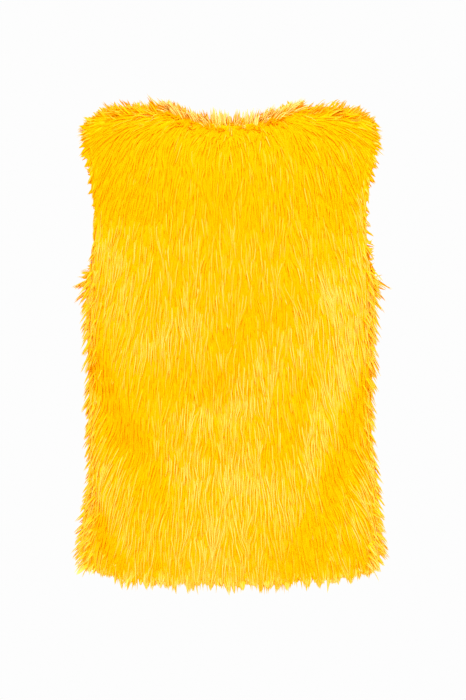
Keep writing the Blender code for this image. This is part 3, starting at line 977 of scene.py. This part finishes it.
def join_locks(name, path, outs, width, tone, rooty, material):
    """All the locks of a piece as one mesh object.

    rooty is how far up each lock its root colour goes, the lighter yellow that is painted light in
    the gaps."""
    count = len(path)
    points = lock_points(path, outs, width)
    faces, cells = lock_faces()
    per_lock = points.shape[1]
    corners = (faces[None] + (np.arange(count) * per_lock)[:, None, None]).reshape(-1)
    data = bpy.data.meshes.new(name)
    data.vertices.add(count * per_lock)
    data.vertices.foreach_set("co", points.reshape(-1).astype(np.float32))
    data.loops.add(len(corners))
    data.loops.foreach_set("vertex_index", corners.astype(np.int32))
    data.polygons.add(len(corners) // 3)
    data.polygons.foreach_set("loop_start", np.arange(0, len(corners), 3, dtype=np.int32))
    data.update(calc_edges=True)
    ends = np.empty(2 * len(data.edges), np.int32)
    data.edges.foreach_get("vertices", ends)
    ends = np.sort(ends.reshape(-1, 2) % per_lock, axis=1)
    layer = data.attributes.new("sharp_edge", "BOOLEAN", "EDGE")
    layer.data.foreach_set("value", sharp_pairs()[ends[:, 0], ends[:, 1]])
    levels = [0.0] + [share for share, _ in RINGS for _ in CORNERS] + [1.0]
    crest = [0.0] + [1.0, 0.0, 0.0] * len(RINGS) + [0.7]
    numbers = {"along": np.outer(1 - rooty, levels).reshape(-1), "crest": np.tile(crest, count)}
    numbers["tone"] = np.repeat(tone, per_lock)
    for key, values in numbers.items():
        layer = data.attributes.new(key, "FLOAT", "POINT")
        layer.data.foreach_set("value", values.astype(np.float32))
    across = math.ceil(math.sqrt(count * 2.2))
    rows = math.ceil(count / across)
    cell = np.stack([np.arange(count) % across, np.arange(count) // across], axis=1)
    uv = (cell[:, None, None] + 0.06 + 0.88 * cells[None]) / (across, rows)
    layer = data.uv_layers.new(name="OFBake")
    layer.data.foreach_set("uv", uv.reshape(-1).astype(np.float32))
    data.validate()
    data.shade_smooth()
    data.materials.append(material)
    piece = bpy.data.objects.new(name, data)
    bpy.context.scene.collection.objects.link(piece)
    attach(piece, "root")
    return piece


print("one lock has", len(lock_faces()[0]), "triangles")

# %% [markdown]
# ## The pile of each piece
# Short broad locks make up the body of the pile. Long fine guard hairs come up sooner and lie on
# top of them side by side; they get a paler tone, so most of the painted highlight on the crests
# falls on them. A row of short fine hair stands along the neckline and is painted pale all round,
# as painted light through fine hair, and so are the strands that hang below the hem. A pile is
# parted into a few pieces, because one mesh with all of it would be slow to handle.

# %% Growing the pile
GAP = 0.00262  # between two roots
GUARD_GAP = 0.0034  # between two guard hairs, side by side
GUARD_SQUEEZE = 0.12  # up and down they keep further apart, by one over this
FRINGE_GAP = 0.0016  # along the neckline, where a row of fine hair stands up
FRINGE_SHARE = 0.6  # of those roots, how many stand up
HANGING = (-0.606, -0.590)  # strands rooted below the first height all hang past the hem
PARTS = {"back": 3, "front_left": 2, "front_right": 2}


def neckline_roots(name, seed):
    """Roots along the neckline's edge, set more closely than the rest."""
    faces = growing_faces(name)
    centres = faces.mean(axis=1)
    near = (near_neckline(centres) > 0.6) & (edge_distance(centres, segments) < 0.015)
    return scatter(faces[near], FRINGE_GAP, seed)


def grow(name, seed):
    """The pile of one piece of the vest, in a few objects side by side."""
    rng = np.random.default_rng(seed)
    plain, extra = scatter(growing_faces(name), GAP, seed), neckline_roots(name, seed + 3)
    roots = np.concatenate([plain, extra])
    order = np.argsort(roots[:, 0])
    count = len(roots)
    roots, fringe = roots[order], (order >= len(plain)) & (rng.random(count) < FRINGE_SHARE)
    guard = np.zeros(count, bool)
    guard[scatter_points(roots * (1, 1, GUARD_SQUEEZE), GUARD_GAP)] = True
    fine, odd = rng.random((2, count))
    guard &= ~fringe
    length = np.where(guard, 0.037 + 0.009 * odd, 0.029 + 0.006 * odd)
    length *= 1 - 0.45 * near_neckline(roots)
    length[fringe] = 0.015 + 0.012 * odd[fringe] ** 1.5
    width = np.where(guard, 0.0026 - 0.0006 * fine, 0.0045 - 0.0012 * fine)
    width[fringe] = 0.0021 - 0.0005 * fine[fringe]
    tip = np.where(guard, 0.0002 + 0.0006 * odd, -0.0013 + 0.0010 * odd)
    rise = np.where(guard, 0.30, 0.55)
    path, outs, stands = walk(roots, fringe, length, tip, rise, seed + 1)
    path = gather(roots, path, stands, seed + 2)
    width *= np.where(stands, 0.85, 1.0)
    # painted light in the tone: the patches' painted sheen and shade, and paler tones for the guard
    # hairs, the outline, standing tufts, the fringe and the hanging strands; the normal draw is
    # random
    patch_light = painted_light_and_turn(path[:, STEPS // 2])[0]
    tone = np.where(guard, 0.58 + 0.55 * patch_light, 0.38 + 0.28 * patch_light)
    tone += 0.03 * drift(roots, 0.022, 21) + rng.normal(0, 0.09, count)
    tone += 0.60 * fringe + 0.12 * ease(np.abs(roots[:, 0]), 0.170, 0.195) + 0.30 * stands
    hanging = 1 - ease(roots[:, 2], *HANGING)
    tone = np.clip(tone + 0.25 * hanging, 0, 1) + 0.4 * fringe + 0.25 * hanging
    pieces = []
    for part, some in enumerate(np.array_split(np.arange(count), PARTS[name])):
        label = "%s_pile_%d" % (name, part + 1)
        look = width[some], tone[some], 0.45 * np.maximum(stands, hanging)[some], fur_colour
        pieces.append(join_locks(label, path[some], outs[some], *look))
        print(label, len(some), "strands,", len(pieces[-1].data.polygons), "triangles")
    return pieces


pile = {name: grow(name, 100 + 10 * number) for number, name in enumerate(NODES)}

# %% [markdown]

# %% [markdown]
# ## Floor, light and camera
# The photograph is a cut-out on near-white, lit evenly. A large white world gives the even light,
# and six broad soft lamps model the locks: two by the camera, one from each side, one above, and
# one on the far side for the fronts. The pale floor lies as far below the hem as it would under
# somebody wearing the vest. The camera stands level with the middle of the picture, straight
# behind the back.

# %% Floor and world
FLOOR_DROP = 0.86  # from the hem to the floor
FLOOR_RADIUS = 3.6


def make_floor():
    """The round pale floor, which is part of the stage and not of the vest."""
    mesh = bmesh.new()
    bmesh.ops.create_circle(mesh, cap_ends=True, segments=96, radius=FLOOR_RADIUS)
    bmesh.ops.translate(mesh, verts=mesh.verts, vec=(0, 0, low[2] - FLOOR_DROP))
    data = bpy.data.meshes.new("floor")
    mesh.to_mesh(data)
    mesh.free()
    material, shader, start = new_material("pale_floor")
    place = start.node("ShaderNodeTexCoord", output=3)
    mottle = start.node("ShaderNodeTexNoise", {}, {0: place, "Scale": 3.0, "Detail": 3.0})
    feed(shader, "Base Color", mottle.mix((0.84, 0.84, 0.83, 1), (0.88, 0.88, 0.87, 1)))
    feed(shader, "Roughness", mottle * 0.1 + 0.7)
    data.materials.append(material)
    floor = bpy.data.objects.new("floor", data)
    bpy.context.scene.collection.objects.link(floor)
    floor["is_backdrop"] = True


make_floor()
world = bpy.data.worlds.new("studio")
world.use_nodes = True
world.node_tree.nodes["Background"].inputs["Color"].default_value = (0.982, 0.982, 0.982, 1)
world.node_tree.nodes["Background"].inputs["Strength"].default_value = 1.0
bpy.context.scene.world = world
print("floor at", round(float(low[2] - FLOOR_DROP), 3))

# %% Lamps
LAMP_COLUMNS = ("name", "x", "y", "z", "size", "watts")
LAMPS = (
    ("key", -0.5, 2.6, 0.5, 1.8, 13.0),
    ("fill", 0.7, 2.7, -0.2, 1.8, 10.0),
    ("left_side", 2.5, 0.7, 0.3, 1.6, 18.0),
    ("right_side", -2.5, 0.7, 0.1, 1.6, 21.0),
    ("above", 0.1, 0.7, 2.4, 1.6, 30.0),
    ("far_side", 0.3, -2.6, 1.2, 1.8, 30.0),
)
middle = (low + high) / 2


def aim(thing, target):
    """Turns a lamp or camera so that it looks at a point."""
    way = np.array(target) - np.array(thing.location)
    level = math.hypot(way[0], way[1])
    thing.rotation_euler = (math.pi / 2 + math.atan2(way[2], level), 0, math.atan2(-way[0], way[1]))


for row in LAMPS:
    lamp = dict(zip(LAMP_COLUMNS, row))
    light = bpy.data.lights.new(lamp["name"], "AREA")
    light.shape = "DISK"
    light.size = lamp["size"]
    light.energy = lamp["watts"]
    holder = bpy.data.objects.new(lamp["name"], light)
    holder.location = (lamp["x"], lamp["y"], lamp["z"])
    aim(holder, middle)
    bpy.context.scene.collection.objects.link(holder)
    print(lamp["name"], lamp["watts"], "W")

# %% Camera
PICTURE = (466, 700)  # pixels
METRES_PER_PIXEL = 0.0013627  # at the plane of the seams
PICTURE_CENTRE = (-0.0034, -0.3185)  # the x and z that the middle of the picture shows
CAMERA_DISTANCE = 2.7

camera_data = bpy.data.cameras.new("camera")
camera_data.sensor_width = 36.0
camera_data.lens = 36.0 * CAMERA_DISTANCE / (PICTURE[1] * METRES_PER_PIXEL)
camera = bpy.data.objects.new("camera", camera_data)
camera.location = (PICTURE_CENTRE[0], CAMERA_DISTANCE, PICTURE_CENTRE[1])
aim(camera, (PICTURE_CENTRE[0], 0.0, PICTURE_CENTRE[1]))
bpy.context.scene.collection.objects.link(camera)
bpy.context.scene.camera = camera
bpy.context.scene.view_settings.view_transform = "Standard"
print("camera lens", round(camera_data.lens, 1), "mm")

# %% [markdown]
# ## Done
# The dressed vest has to stay in the box of its solids, but for the fluff that may stand proud of
# it. How far the dressed vest reaches past that box, at both corners, is printed.

# %% Sizes and finish
visual_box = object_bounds()
for label, corner, other in zip(("low", "high"), cad_box, visual_box):
    print(label, [round(1000 * (b - a), 1) for a, b in zip(corner, other)], "mm past the solids")
